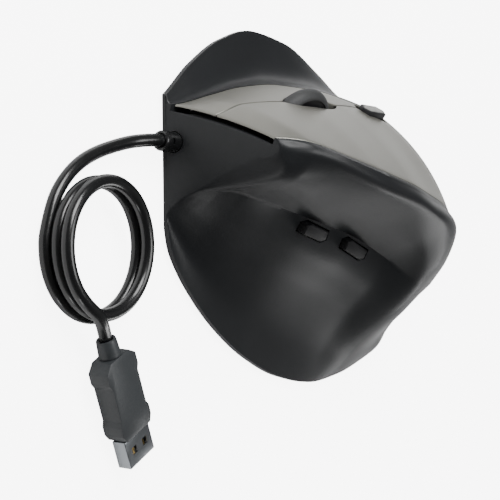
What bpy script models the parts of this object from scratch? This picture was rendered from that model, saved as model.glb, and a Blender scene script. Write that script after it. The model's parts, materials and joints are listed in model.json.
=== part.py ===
"""Upright computer mouse with a coiled cord.  Lengths are written in millimetres and scaled to metres.
+Y is the cable end, +X the little-finger side, +Z up; the origin is under the middle of the body."""

from math import atan2, cos, degrees, pi, radians, sin

import bmesh
import bpy
from mathutils import Matrix, Vector

MM = 0.001
FLOOR_GAP = 0.9        # underside above the floor, the height of the glide feet
BASE_T = 2.0           # base plate thickness
WALL_T = 2.3           # housing wall
COVER_T = 2.0          # palm cover and button covers
GAP = 0.35             # gap between pieces that touch
PRESS_GAP = 0.6        # gap along the covers' low edge, where a pressed button slides
RIM_T = 1.5            # edge height of the wings
COVER_FRONT_Y = 58.4
BUTTON_REAR_Y = -6.0
COVER_REAR_Y = -50.0
UNDER_COVER = 1.7      # room under the covers for their travel
COVER_BULGE = 3.0
DECK_ANGLE = 55.0      # slope of the covers, about Y
DECK_ORIGIN = (22.6, 10.0, 30.6)
WHEEL_X = 10.4         # wheel centre in the deck's frame, down the slope
WHEEL_Y = 8.2
WHEEL_Z = -5.6
WHEEL_R = 13.0
WHEEL_W = 5.0
SLOT_Y = 6.2           # middle of the slot that the wheel stands in
BOARD_Z = -15.0        # inclined button board, below the covers
NOTCH_L = 21.8         # length of the board's notch round the wheel
CORD_D = 3.8
COIL_CENTRE = (-15.5, 93.0)
COIL_R = 18.5
COIL_PITCH = 3.9
COIL_TURNS = 2.17
PLUG_ORIGIN = (-39.8, 90.6, 6.3)
PLUG_YAW = 209.5
PLUG_PITCH = 4.6       # its rear lies on the coil
CABLE_X = 16.5
CABLE_Z = 4.6
CABLE_END_Y = 65.8     # front end of the strain relief
RELIEF_L = 14.0
DPI_SPOT = (0.13, -23.0)
THUMB_SPOTS = (("forward", 17.0), ("back", -3.5))
DPI_RISE = 1.9         # how far the resolution button stands out of the covers
KEY_RISE = 1.1         # how far the thumb keys stand out of the shelf
KEY_DEPTH = 4.0
LOW_EDGE = 0.03        # the covers' own edges, as a share of their width
HIGH_EDGE = 0.97
SLOT_HALF, SLOT_SIDE = 15.6, 3.8
BORE = 10.0            # how far a cutter reaches through a wall
SHELL_X = 30.4         # where the plug's metal shell leaves its overmould
SHELL_L = 8.7
SENSOR_X = 4.0
SENSOR_Y = 2.0
MAIN_Z = 6.6
SCREW_PLACES = ((22, 44), (-2, 44), (24, -32), (-24, -32))
FOOT_PLACES = ((17, 53, 0), (-10, 50, 0), (44, -6, 80), (-44, -12, 90), (-2, -53.5, 0))
STATIONS = (59.0, 57.5, 55.0, 48.0, 34.0, 18.0, 0.0, -18.0, -34.0, -48.0, -55.0, -58.4, -59.0)

# Each line runs from the front to the rear of the body, one (x, z) or x for each station.
FAR_RIM = (30.2, 31.4, 33.8, 40.4, 49.3, 53.8, 52, 45, 36.7, 28.6, 20, 10.5, 4)
NEAR_RIM = (-7, -13.5, -18, -25.8, -36.9, -45.8, -51.8, -54, -51.6, -47.2, -44, -39, -34)
FAR_WING = ((28.9, 2.7), (29.6, 2.8), (31, 3), (35.5, 3.4), (41, 4), (43.8, 4.4), (43.5, 4.7), (40.2, 5.2),
            (34.8, 6), (28, 6), (18, 4.5), (9.5, 3), (3, 2.2))
FAR_FILLET = ((28.2, 2.9), (28.6, 3.3), (29.6, 3.9), (32.6, 4.8), (37, 6), (39.4, 7), (39.6, 7.6), (37.4, 8.6),
              (32.4, 9.5), (25.5, 9.5), (16, 7), (8.5, 3.6), (2.5, 2.4))
COVER_LOW = ((27.6, 3.2), (27.9, 4.2), (28.6, 5.2), (31, 6.8), (35.2, 8.8), (37.5, 10.6), (37.8, 11.6),
             (35.8, 14), (31, 18), (23.5, 17), (14.5, 11), (8, 5.6), (3, 3.6))
RIDGE = ((16.6, 38), (16.5, 39.3), (16.3, 41), (15.4, 45), (12.2, 49), (9, 50.6), (6, 50.2), (3, 47.2),
         (1, 42.6), (0, 33), (-1, 22.5), (-2, 11), (-3, 5))
SHOULDER = ((13.2, 38.6), (13, 40.2), (12.8, 41.8), (11.8, 44.8), (8.3, 47.6), (4.4, 49.8), (1.4, 50.9),
            (-2.2, 49.2), (-4.2, 45.2), (-6, 36.5), (-6, 25), (-6, 12.5), (-5, 5.6))
WALL = ((6.2, 33), (6.2, 34.5), (6, 36), (5, 38), (2.8, 38), (-0.5, 39), (-4, 40.8), (-9.5, 41),
        (-15, 40), (-14.5, 34), (-14, 23.5), (-11.5, 12), (-8, 5.6))
CREASE = ((2.2, 12), (2.5, 16), (2.5, 19.5), (1, 23.5), (-1.4, 25.2), (-4.5, 27), (-8, 28), (-14, 29),
          (-22, 33.5), (-22, 28.5), (-20.5, 20.5), (-16, 11), (-11, 5.6))
SHELF = ((0.6, 8), (0.2, 11), (-1, 13.6), (-4, 17), (-8.2, 19.8), (-12.5, 22.5), (-16.5, 24), (-23, 24),
         (-30.5, 25.6), (-31, 18), (-28, 13.5), (-22, 8.5), (-16, 5.2))
SCOOP_HIGH = ((-1.6, 5), (-2.8, 6.4), (-4.8, 7.8), (-9.8, 9.8), (-16, 11.6), (-21.5, 13.6), (-26, 14.6),
              (-32, 14.8), (-38.5, 15.5), (-38.5, 10.8), (-35, 9), (-29, 6.5), (-24, 4.6))
SCOOP_LOW = ((-4, 2.5), (-7, 2.6), (-10, 3), (-17, 3.9), (-26, 5), (-33, 6), (-38.5, 6.3), (-43, 6.4),
             (-45.5, 7.6), (-43.6, 7.2), (-40.5, 6), (-35, 4.4), (-30, 3.2))

# Where the line between the two buttons runs across the covers, as a share of their width.
SPLIT = (0.42, 0.41, 0.394, 0.35, 0.335, 0.295, 0.24, 0.13, 0.1, 0.1, 0.1, 0.1, 0.1)


def vec(x, y, z):
    return Vector((x * MM, y * MM, z * MM))


# ---- the body's shape -------------------------------------------------------------------------------

def slope_at(ys, values, i):
    """Slope of a smooth curve through the values, kept flat where they turn."""
    if i in (0, len(ys) - 1):
        j = 0 if i == 0 else i - 1
        return (values[j + 1] - values[j]) / (ys[j + 1] - ys[j])
    before = (values[i] - values[i - 1]) / (ys[i] - ys[i - 1])
    after = (values[i + 1] - values[i]) / (ys[i + 1] - ys[i])
    if before * after <= 0.0:
        return 0.0
    return 2.0 * before * after / (before + after)


def along(values, y):
    """Value at y of one feature line given at the stations."""
    y = min(max(y, STATIONS[-1]), STATIONS[0])
    i = 0
    while i < len(STATIONS) - 2 and y < STATIONS[i + 1]:
        i += 1
    step = STATIONS[i + 1] - STATIONS[i]
    t = (y - STATIONS[i]) / step
    a = slope_at(STATIONS, values, i) * step
    b = slope_at(STATIONS, values, i + 1) * step
    t2 = t * t
    t3 = t2 * t
    return ((2 * t3 - 3 * t2 + 1) * values[i] + (t3 - 2 * t2 + t) * a
            + (3 * t2 - 2 * t3) * values[i + 1] + (t3 - t2) * b)


def feature(line, y):
    return (along([p[0] for p in line], y), along([p[1] for p in line], y))


def lean(x, y, z):
    """The front wall leans back and stands a little askew: both fade out over the first part of the body."""
    fade = min(max((y - 30.0) / 29.0, 0.0), 1.0)
    return y + (0.055 * (x + 2.0) - 0.125 * z) * fade * fade


def cover_point(s, y, lift=0.0):
    """Point on the covers: s runs from their low edge (0) to the ridge (1)."""
    x0, z0 = feature(COVER_LOW, y)
    x1, z1 = feature(RIDGE, y)
    dx, dz = x1 - x0, z1 - z0
    length = max((dx * dx + dz * dz) ** 0.5, 0.01)
    nx, nz = dz / length, -dx / length
    nose = max(y - 49.0, 0.0) ** 2 * 0.018
    out = (COVER_BULGE * min(length / 40.0, 1.0) - nose) * 4.0 * s * (1.0 - s) + lift
    return (x0 + s * dx + nx * out, z0 + s * dz + nz * out)


def curve_through(points, steps):
    """Smooth curve through (x, z) points, without its last point."""
    out = []
    for i in range(len(points) - 1):
        p0 = points[max(i - 1, 0)]
        p1, p2 = points[i], points[i + 1]
        p3 = points[min(i + 2, len(points) - 1)]
        for k in range(steps):
            t = k / steps
            out.append(tuple(0.5 * (2 * b + (c - a) * t + (2 * a - 5 * b + 4 * c - d) * t * t
                                    + (3 * b - a - 3 * c + d) * t ** 3)
                             for a, b, c, d in zip(p0, p1, p2, p3)))
    return out


def section(y):
    """Outline of the body at y, from the far wing over the top to the near wing."""
    far, near = along(FAR_RIM, y), along(NEAR_RIM, y)
    wing = [(far, FLOOR_GAP + RIM_T), feature(FAR_WING, y), feature(FAR_FILLET, y), feature(COVER_LOW, y)]
    top = [cover_point(k / 8.0, y) for k in range(8)]
    wall = [feature(RIDGE, y), feature(SHOULDER, y), feature(WALL, y), feature(CREASE, y)]
    scoop = [feature(CREASE, y), feature(SHELF, y), feature(SCOOP_HIGH, y), feature(SCOOP_LOW, y),
             (near, FLOOR_GAP + RIM_T)]
    return ([(far, FLOOR_GAP)] + curve_through(wing, 2) + top + curve_through(wall, 3)
            + curve_through(scoop, 3) + [scoop[-1], (near, FLOOR_GAP)])


def cavity_section(y):
    """Outline of the inside at y: the covers, the wall and the shelf moved in by the wall."""
    low = feature(COVER_LOW, y)
    line = [cover_point(k / 6.0, y) for k in range(6)]
    for name in (SHOULDER, WALL, CREASE, SHELF, SCOOP_HIGH):
        line.append(feature(name, y))
    moved = []
    for i, (x, z) in enumerate(line):
        ax, az = line[max(i - 1, 0)]
        bx, bz = line[min(i + 1, len(line) - 1)]
        length = ((bx - ax) ** 2 + (bz - az) ** 2) ** 0.5
        moved.append((x - (bz - az) / length * WALL_T, z + (bx - ax) / length * WALL_T))
    return [(low[0] - 3.2, -1.0)] + moved + [(moved[-1][0] + 0.4, -1.0)]


def station_list(first, last, count):
    """Stations from front to rear, closer together near both ends."""
    shares = [0.5 - 0.5 * cos(pi * (0.06 + 0.88 * k / (count - 1))) for k in range(count)]
    return [first + (last - first) * share for share in shares]


# ---- Blender helpers --------------------------------------------------------------------------------

def clear_scene():
    for item in list(bpy.data.objects):
        bpy.data.objects.remove(item, do_unlink=True)


def collection(name):
    made = bpy.data.collections.new(name)
    bpy.context.scene.collection.children.link(made)
    return made


def material(name, colour, roughness, metallic=0.0):
    made = bpy.data.materials.new(name)
    made.use_nodes = True
    shader = made.node_tree.nodes["Principled BSDF"]
    shader.inputs["Base Color"].default_value = (*colour, 1.0)
    shader.inputs["Roughness"].default_value = roughness
    shader.inputs["Metallic"].default_value = metallic
    return made


def add(name, mesh, finish, parent=None, place=(0, 0, 0), turn=(0, 0, 0)):
    """One named object; place in millimetres and turn in degrees, in its parent's frame."""
    made = bpy.data.objects.new(name, mesh)
    PARTS.objects.link(made)
    made.data.materials.append(finish)
    made.parent = parent
    made.location = vec(*place)
    made.rotation_euler = [radians(a) for a in turn]
    return made


def empty(name, place, turn=(0, 0, 0), parent=None):
    made = bpy.data.objects.new(name, None)
    PARTS.objects.link(made)
    made.parent = parent
    made.location = vec(*place)
    made.rotation_euler = [radians(a) for a in turn]
    return made


def mesh_from(bm, name):
    mesh = bpy.data.meshes.new(name)
    bm.to_mesh(mesh)
    bm.free()
    return mesh


def box_mesh(name, size):
    bm = bmesh.new()
    bmesh.ops.create_cube(bm, size=1.0)
    bmesh.ops.scale(bm, vec=Vector(size) * MM, verts=bm.verts)
    return mesh_from(bm, name)


def rod_mesh(name, radius, length, axis="Z", sides=24):
    bm = bmesh.new()
    bmesh.ops.create_cone(bm, cap_ends=True, segments=sides, radius1=radius * MM, radius2=radius * MM,
                          depth=length * MM)
    turn = {"Z": Matrix(), "X": Matrix.Rotation(pi / 2, 4, "Y"), "Y": Matrix.Rotation(-pi / 2, 4, "X")}[axis]
    bmesh.ops.transform(bm, matrix=turn, verts=bm.verts)
    return mesh_from(bm, name)


def box(name, size, finish, parent=None, place=(0, 0, 0), turn=(0, 0, 0)):
    return add(name, box_mesh(name, size), finish, parent, place, turn)


def rod(name, radius, length, finish, parent=None, place=(0, 0, 0), axis="Z", sides=24):
    return add(name, rod_mesh(name, radius, length, axis, sides), finish, parent, place)


def loft_mesh(name, rings):
    """Closed solid through rings of (x, y, z) points, capped at both ends."""
    bm = bmesh.new()
    rows = [[bm.verts.new(vec(*p)) for p in ring] for ring in rings]
    for a, b in zip(rows, rows[1:]):
        for i in range(len(a)):
            j = (i + 1) % len(a)
            bm.faces.new((a[i], a[j], b[j], b[i]))
    bm.faces.new(rows[0][::-1])
    bm.faces.new(rows[-1])
    bmesh.ops.recalc_face_normals(bm, faces=bm.faces)
    if bm.calc_volume(signed=True) < 0.0:
        bmesh.ops.reverse_faces(bm, faces=bm.faces)
    bmesh.ops.triangulate(bm, faces=[f for f in bm.faces if len(f.verts) > 4])
    return mesh_from(bm, name)


def outline_mesh(name, points, z0, z1):
    return loft_mesh(name, [[(x, y, z) for x, y in points] for z in (z0, z1)])


def turned(name, profile, finish, parent=None, place=(0, 0, 0), turn=(0, 0, 0), steps=32):
    """Turned about Z from a profile of (radius, height) pairs, top to bottom."""
    bm = bmesh.new()
    line = [bm.verts.new((r * MM, 0.0, h * MM)) for r, h in profile]
    for a, b in zip(line, line[1:]):
        bm.edges.new((a, b))
    made = add(name, mesh_from(bm, name), finish, parent, place, turn)
    screw = made.modifiers.new("Turn", "SCREW")
    screw.steps = steps
    screw.render_steps = steps
    screw.use_merge_vertices = True
    screw.merge_threshold = 0.00001
    return made


def cutter(name, mesh, parent=None, place=(0, 0, 0), turn=(0, 0, 0)):
    made = bpy.data.objects.new(name, mesh)
    CUTTERS.objects.link(made)
    made.hide_render = True
    made.display_type = "WIRE"
    made.parent = parent
    made.location = vec(*place)
    made.rotation_euler = [radians(a) for a in turn]
    return made


def cut(target, tool):
    modifier = target.modifiers.new("Cut " + tool.name, "BOOLEAN")
    modifier.operation = "DIFFERENCE"
    modifier.solver = "EXACT"
    modifier.object = tool


def tube(name, points, diameter, finish, resolution):
    """Round tube with filled ends, along a line of (x, y, z) points."""
    data = bpy.data.curves.new(name, "CURVE")
    data.dimensions = "3D"
    data.bevel_depth = diameter / 2 * MM
    data.bevel_resolution = resolution
    data.use_fill_caps = True
    line = data.splines.new("POLY")
    line.points.add(len(points) - 1)
    for spot, p in zip(line.points, points):
        spot.co = (*vec(*p), 1.0)
    made = bpy.data.objects.new(name, data)
    PARTS.objects.link(made)
    data.materials.append(finish)
    return made


def smooth_route(points, steps):
    """Points read from a smooth curve through a route's own points."""
    return curve_through(points, steps) + [points[-1]]


# ---- housing, covers and base -----------------------------------------------------------------------

def low_edge(y):
    return LOW_EDGE


def high_edge(y):
    return HIGH_EDGE


def split_s(y):
    """Where the line between the two buttons runs across the covers."""
    return along(SPLIT, y)


def strip_rings(y_front, y_rear, low, high, lift, depth, count):
    """Rings of a strip of the covers: outer face at lift, inner face at depth below it.
    low and high give the strip's two edges at y, as a share of the covers' width."""
    rings = []
    for k in range(count):
        y = y_front + (y_rear - y_front) * k / (count - 1)
        s0, s1 = low(y), high(y)
        across = [s0 + (s1 - s0) * i / 7.0 for i in range(8)]
        outer = [cover_point(s, y, lift) for s in across]
        inner = [cover_point(s, y, lift - depth) for s in reversed(across)]
        rings.append([(x, lean(x, y, z), z) for x, z in outer + inner])
    return rings


def s_gap(y, gap):
    """A gap in millimetres as a share of the covers' width at y."""
    x0, z0 = feature(COVER_LOW, y)
    x1, z1 = feature(RIDGE, y)
    return gap / max(((x1 - x0) ** 2 + (z1 - z0) ** 2) ** 0.5, 1.0)


def strip(name, y_front, y_rear, low, high):
    mesh = loft_mesh(name, strip_rings(y_front, y_rear, low, high, 0.0, COVER_T, 16))
    return add(name, mesh, GREY)


def make_housing():
    rings = []
    for y in [STATIONS[0]] + station_list(58.6, -58.8, 34) + [STATIONS[-1]]:
        rings.append([(x, lean(x, y, z), z) for x, z in section(y)])
    housing = add("main_housing", loft_mesh("main_housing", rings), BLACK)
    inside = []
    for y in station_list(56.0, -53.0, 20):
        inside.append([(x, lean(x, y, z), z) for x, z in cavity_section(y)])
    cut(housing, cutter("cavity", loft_mesh("cavity", inside)))
    hole = cutter("cable_hole", rod_mesh("cable_hole", 3.2, 14.0, "Y"), None, (CABLE_X, 56.0, CABLE_Z))
    cut(housing, hole)
    for name, y in THUMB_SPOTS:
        key = name + "_hole"
        cut(housing, cutter(key, outline_mesh(key, thumb_outline(GAP), -BORE, BORE), THUMB[name]))
    window = strip_rings(COVER_FRONT_Y + 6.0, COVER_REAR_Y - GAP, low_edge, high_edge, 6.0,
                         6.0 + COVER_T + UNDER_COVER, 24)
    cut(housing, cutter("cover_window", loft_mesh("cover_window", window)))
    return housing


def make_covers():
    def near(y):
        return high_edge(y) - s_gap(y, GAP)

    def far(y):
        return low_edge(y) + s_gap(y, PRESS_GAP)

    def split_up(y):
        return split_s(y) + s_gap(y, GAP)

    def split_down(y):
        return split_s(y) - s_gap(y, GAP)

    left = strip("left_button", COVER_FRONT_Y, BUTTON_REAR_Y, split_up, near)
    right = strip("right_button", COVER_FRONT_Y, BUTTON_REAR_Y, far, split_down)
    palm = strip("palm_cover", BUTTON_REAR_Y - GAP, COVER_REAR_Y, far, near)
    slot = cutter("wheel_slot", outline_mesh("wheel_slot", wheel_slot_outline(), -BORE, BORE), DECK,
                  (WHEEL_X, SLOT_Y, 0))
    cut(left, slot)
    cut(right, slot)
    cut(palm, cutter("dpi_hole", outline_mesh("dpi_hole", dpi_outline(GAP), -BORE, BORE), DPI))


def wheel_slot_outline():
    """Pointed slot: two arcs that meet in front of the wheel and behind it."""
    out = []
    for k in range(17):
        t = -1.0 + 2.0 * k / 16.0
        out.append((SLOT_SIDE * (1.0 - t * t) ** 0.22, SLOT_HALF * t))
    return out + [(-x, y) for x, y in reversed(out[1:-1])]


def thumb_outline(grow):
    """Slim hexagon with slanted ends, long in Y."""
    a, b, c = 6.8 + grow, 4.6 + grow, 1.9 + grow
    return [(-0.8, -a), (c, -a + 0.6), (c, b), (0.8, a), (-c, a - 0.6), (-c, -b)]


def dpi_outline(grow):
    """Long hexagon."""
    a, b, c = 6.2 + grow, 4.4 + grow, 2.5 + grow
    return [(0, -a), (c, -b), (c, b), (0, a), (-c, b), (-c, -b)]


def cover_empty(name, s, y):
    """Empty on the covers' face, its Z pointing out."""
    ax, az = cover_point(s - 0.02, y)
    bx, bz = cover_point(s + 0.02, y)
    x, z = cover_point(s, y)
    return empty(name, (x, y, z), (0, degrees(atan2(bz - az, ax - bx)), 0))


def shelf_empty(name, y):
    """Empty on the thumb shelf just under its top edge, its Z pointing out."""
    cx, cz = feature(CREASE, y)
    sx, sz = feature(SHELF, y)
    share = 0.36
    slope = degrees(atan2(cz - sz, cx - sx))
    place = (cx + (sx - cx) * share, y, cz + (sz - cz) * share + 0.25)
    frame = empty(name + "_frame", place, (0, -slope, 0))
    ahead = feature(CREASE, y + 4.0)
    behind = feature(CREASE, y - 4.0)
    return empty(name, (0, 0, 0), (0, 0, -degrees(atan2(ahead[0] - behind[0], 8.0))), frame)


def make_base():
    ys = [54.0 - 105.0 * k / 20.0 for k in range(21)]
    far = [(along([p[0] for p in COVER_LOW], y) - 4.2, y) for y in ys]
    near = [(cavity_section(y)[-1][0] + 1.0, y) for y in reversed(ys)]
    plate = add("base_plate", outline_mesh("base_plate", far + near, FLOOR_GAP, FLOOR_GAP + BASE_T), DARK)
    screw = [(0, 7.0), (1.0, 7.0), (1.0, 1.4), (2.0, 1.4), (2.0, 0.0), (0, 0.0)]
    for k, (x, y) in enumerate(SCREW_PLACES):
        key = "screw_hole_%d" % (k + 1)
        cut(plate, cutter(key, rod_mesh(key, 2.4, 8.0), None, (x, y, 2.0)))
        turned("case_screw_%d" % (k + 1), screw, STEEL, None, (x, y, FLOOR_GAP + 0.4), steps=16)
    key = "sensor_window"
    cut(plate, cutter(key, box_mesh(key, (9, 11, 8)), None, (SENSOR_X, SENSOR_Y, 2.0)))
    key = "cable_notch"
    cut(plate, cutter(key, box_mesh(key, (9, 9, 8)), None, (CABLE_X, 53, 2.0)))
    for k, (x, y, turn) in enumerate(FOOT_PLACES):
        box("glide_foot_%d" % (k + 1), (16, 6, 0.6), GLIDE, None, (x, y, 0.3), (0, 0, turn))


def make_main_board():
    box("main_board", (25, 72, 1.6), BOARD, None, (3.5, 0, MAIN_Z))
    for k, (x, y) in enumerate(((-6, -31), (-6, 31), (13, -31), (13, 31))):
        rod("board_post_%d" % (k + 1), 2.0, 2.0, DARK, None, (x, y, FLOOR_GAP + BASE_T + 1.3), sides=16)
    box("sensor_lens", (8, 10, 2.6), CLEAR, None, (SENSOR_X, SENSOR_Y, MAIN_Z - 2.7))
    box("sensor_chip", (9, 11, 2.4), CHIP, None, (SENSOR_X, SENSOR_Y, MAIN_Z + 2.3))
    box("controller_chip", (7, 7, 1.2), CHIP, None, (-3, -24, MAIN_Z + 1.7))
    box("cable_socket", (9, 5, 4), CLEAR, None, (7, 32, MAIN_Z + 3.1))
    box("ballast_plate", (10, 28, 2.6), STEEL, None, (-17, -16, FLOOR_GAP + BASE_T + 1.6))


def make_button_board():
    board = box("button_board", (26.6, 47, 1.6), BOARD, DECK, (7.3, 5.5, BOARD_Z))
    key = "wheel_notch"
    cut(board, cutter(key, box_mesh(key, (12, NOTCH_L, 8)), DECK, (WHEEL_X + 1.0, WHEEL_Y, BOARD_Z)))
    box("board_bracket", (2, 30, 10.2), DARK, None, (10.2, 10, 13.6))
    for side, x, y, width in (("left", -1.0, 18.0, 10.0), ("right", 18.0, 23.0, 5.0)):
        box(side + "_switch", (width, 6, 5.6), CHIP, DECK, (x, y, BOARD_Z + 3.9))
        box(side + "_plunger", (2, 1.6, 0.7), CLEAR, DECK, (x, y, BOARD_Z + 7.35))
    box("left_button_post", (4, 4, 6.9), GREY, DECK, (-1.0, 18, -2.85))
    box("right_button_post", (3, 4, 3.8), GREY, DECK, (18.0, 23, -4.6))
    box("encoder", (3, 8, 6.6), CLEAR, DECK, (WHEEL_X - 9.5, WHEEL_Y, BOARD_Z + 4.4))


def make_wheel():
    place = (WHEEL_X, WHEEL_Y, WHEEL_Z)
    half = WHEEL_W / 2
    r = WHEEL_R
    tyre = [(r - 2, half), (r - 0.8, half), (r, half - 0.8), (r, 0.8 - half), (r - 0.8, -half),
            (r - 2, -half), (r - 2, half)]
    turned("wheel_tyre", tyre, RUBBER, DECK, place, (0, 90, 0), 48)
    side, rim = half - 0.3, r - 2.3
    hub = [(1.5, side), (rim, side), (rim, -side), (1.5, -side), (1.5, side)]
    turned("wheel_hub", hub, DARK, DECK, place, (0, 90, 0), 36)
    rod("wheel_axle", 1.2, 7.6, STEEL, DECK, place, axis="X", sides=20)
    fork = [(-6.6, 4), (-6.6, -18), (6.6, -18), (6.6, 4), (4.3, 4), (4.3, -14.6), (-4.3, -14.6), (-4.3, 4)]
    add("wheel_carrier", outline_mesh("wheel_carrier", fork, -4.0, 0.4), DARK, DECK, place)
    box("middle_switch", (5, 4, 2.6), CHIP, DECK, (WHEEL_X, WHEEL_Y - 16.4, BOARD_Z + 2.4))
    box("middle_plunger", (2, 2, 0.6), CLEAR, DECK, (WHEEL_X, WHEEL_Y - 16.4, BOARD_Z + 4.3))
    helix = []
    for k in range(37):
        a = 2 * pi * k / 9.0
        helix.append((1.3 * cos(a), 1.3 * sin(a), 2.9 * k / 36.0))
    spring = tube("wheel_spring", helix, 0.5, STEEL, 2)
    spring.parent = DECK
    spring.location = vec(WHEEL_X - 4.9, WHEEL_Y - 16.2, BOARD_Z + 1.35)


def make_dpi_button():
    add("dpi_button", outline_mesh("dpi_button", dpi_outline(0.0), -3.4, DPI_RISE), DARK, DPI)
    box("dpi_switch", (5, 5, 2.6), CHIP, DPI, (0, 0, -5.8))
    box("dpi_board", (7, 13, 1.2), BOARD, DPI, (-1.4, 1.0, -8.0))


def make_thumb_buttons():
    for name, y in THUMB_SPOTS:
        mesh = outline_mesh(name + "_button", thumb_outline(0.0), -KEY_DEPTH, KEY_RISE)
        add(name + "_button", mesh, DARK, THUMB[name])
        box(name + "_switch", (4, 5, 2.6), CHIP, THUMB[name], (0, 0, -6.4))
    frame = empty("thumb_board_frame", (-9.8, 6.5, 26.2), (0, -28.5, 0))
    box("thumb_board", (7, 34, 1.2), BOARD, frame, (1.0, 0, -9.7), (-3.0, 0, -9.5))


def make_strain_relief():
    profile = [(0, RELIEF_L), (2.4, RELIEF_L), (3.0, RELIEF_L - 0.7), (3.0, 1.5), (3.6, 1.5), (3.6, 0),
               (0, 0)]
    turned("strain_relief", profile, CORD, None, (CABLE_X, CABLE_END_Y - RELIEF_L, CABLE_Z), (-90, 0, 0), 24)


def make_cord():
    cx, cy = COIL_CENTRE
    route = [(CABLE_X, CABLE_END_Y + 0.3, CABLE_Z), (16.3, 71.0, 3.9), (15.2, 78.0, 2.5), (12.8, 87.0, 1.95),
             (9.2, 96.0, 1.95), (5.6, 101.6, 1.95)]
    tube("usb_cord", smooth_route(route, 3), CORD_D, CORD, 3)
    top = COIL_PITCH * COIL_TURNS + CORD_D
    outer, inner = COIL_R + CORD_D / 2, COIL_R - CORD_D / 2
    ring = [(inner, top), (outer, top), (outer, 0.05), (inner, 0.05), (inner, top)]
    turned("usb_cord_coil", ring, CORD, None, (cx, cy, 0), steps=40)
    tube("usb_cord_tail", [(-38.0, 93.5, 8.0), (-39.1, 91.7, 6.95)], CORD_D, CORD, 3)


def make_plug():
    profile = [(0, 5.1), (3.1, 5.1), (3.1, 0.8), (2.6, 0), (0, 0)]
    turned("plug_neck", profile, PLUG, PLUG_FRAME, (0.3, 0, 0), (0, 90, 0), 20)
    half = [(5.7, 4.2), (8.0, 7.0), (11.5, 7.0), (13.0, 6.2), (23.5, 6.2), (25.0, 7.0), (27.9, 7.0),
            (30.1, 5.8)]
    outline = half + [(x, -y) for x, y in reversed(half)]
    add("plug_overmould", outline_mesh("plug_overmould", outline, -3.5, 3.5), PLUG, PLUG_FRAME)
    shell = box("plug_shell", (SHELL_L, 12, 4.5), STEEL, PLUG_FRAME, (SHELL_X + SHELL_L / 2, 0, 0))
    cut(shell, cutter("shell_inside", box_mesh("shell_inside", (SHELL_L, 11.3, 3.8)), PLUG_FRAME,
                      (SHELL_X + 0.6 + SHELL_L / 2, 0, 0)))
    for k, y in enumerate((-2.5, 2.5)):
        key = "shell_window_%d" % (k + 1)
        cut(shell, cutter(key, box_mesh(key, (2.2, 2.2, 4)), PLUG_FRAME, (SHELL_X + 4.2, y, 3.2)))
    box("plug_tongue", (SHELL_L - 2.4, 10.6, 1.4), DARK, PLUG_FRAME,
        (SHELL_X + 1.0 + (SHELL_L - 2.4) / 2, 0, -0.8))
    for k in range(4):
        place = (SHELL_X + 4.4, -3.6 + 2.4 * k, 0.35)
        box("plug_contact_%d" % (k + 1), (4.8, 1.0, 0.25), GOLD, PLUG_FRAME, place)


# ---- build ------------------------------------------------------------------------------------------

clear_scene()
PARTS = collection("computer_mouse")
CUTTERS = collection("cutters")
BLACK = material("black_plastic", (0.028, 0.029, 0.031), 0.42)
DARK = material("dark_plastic", (0.02, 0.02, 0.022), 0.5)
GREY = material("grey_paint", (0.29, 0.275, 0.25), 0.32, 0.35)
RUBBER = material("wheel_rubber", (0.045, 0.045, 0.048), 0.75)
BOARD = material("circuit_board", (0.03, 0.16, 0.07), 0.5)
CHIP = material("chip", (0.02, 0.02, 0.02), 0.4)
STEEL = material("steel", (0.5, 0.51, 0.53), 0.3, 1.0)
CLEAR = material("lens_plastic", (0.75, 0.8, 0.82), 0.1)
GLIDE = material("glide_foot", (0.1, 0.1, 0.1), 0.35)
CORD = material("cord_rubber", (0.012, 0.012, 0.013), 0.28)
PLUG = material("plug_rubber", (0.05, 0.056, 0.06), 0.45)
GOLD = material("contact_gold", (0.8, 0.6, 0.25), 0.3, 1.0)
DECK = empty("deck", DECK_ORIGIN, (0, DECK_ANGLE, 0))
DPI = cover_empty("dpi_place", *DPI_SPOT)
THUMB = {name: shelf_empty(name + "_place", y) for name, y in THUMB_SPOTS}
PLUG_FRAME = empty("plug_place", PLUG_ORIGIN, (0, PLUG_PITCH, PLUG_YAW))

make_housing()
make_covers()
make_base()
make_main_board()
make_button_board()
make_wheel()
make_dpi_button()
make_thumb_buttons()
make_strain_relief()
make_cord()
make_plug()
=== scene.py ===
"""Looks of the upright mouse: fine skins, cord, materials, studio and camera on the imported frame.
Lengths are millimetres times MM, in the frame's own axes: +Y cable end, +X little-finger side, +Z up."""

import json
from math import atan2, cos, degrees, pi, radians, sin

import bmesh
import bpy
from mathutils import Matrix, Vector


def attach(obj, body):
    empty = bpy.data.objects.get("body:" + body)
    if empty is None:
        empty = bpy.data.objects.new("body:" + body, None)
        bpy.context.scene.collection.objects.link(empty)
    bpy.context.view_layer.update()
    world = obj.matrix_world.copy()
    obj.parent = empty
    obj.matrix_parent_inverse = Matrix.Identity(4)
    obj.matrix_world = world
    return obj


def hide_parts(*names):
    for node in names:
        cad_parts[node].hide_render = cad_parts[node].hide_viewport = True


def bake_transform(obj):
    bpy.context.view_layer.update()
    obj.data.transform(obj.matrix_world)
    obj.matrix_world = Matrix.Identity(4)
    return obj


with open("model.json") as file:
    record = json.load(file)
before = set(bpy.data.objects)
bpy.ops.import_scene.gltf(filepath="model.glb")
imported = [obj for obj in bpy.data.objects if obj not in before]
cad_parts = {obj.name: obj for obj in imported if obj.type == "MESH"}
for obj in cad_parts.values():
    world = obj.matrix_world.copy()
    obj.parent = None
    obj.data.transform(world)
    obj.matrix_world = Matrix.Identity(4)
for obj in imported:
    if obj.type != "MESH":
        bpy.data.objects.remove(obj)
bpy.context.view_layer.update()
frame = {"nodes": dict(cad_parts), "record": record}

MM = 0.001
FLOOR_GAP = 0.9        # underside above the floor
RIM_T = 1.5            # edge height of the wings
WALL_T = 2.3           # housing wall
COVER_T = 2.0          # thickness of the covers
COVER_BULGE = 3.0
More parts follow.
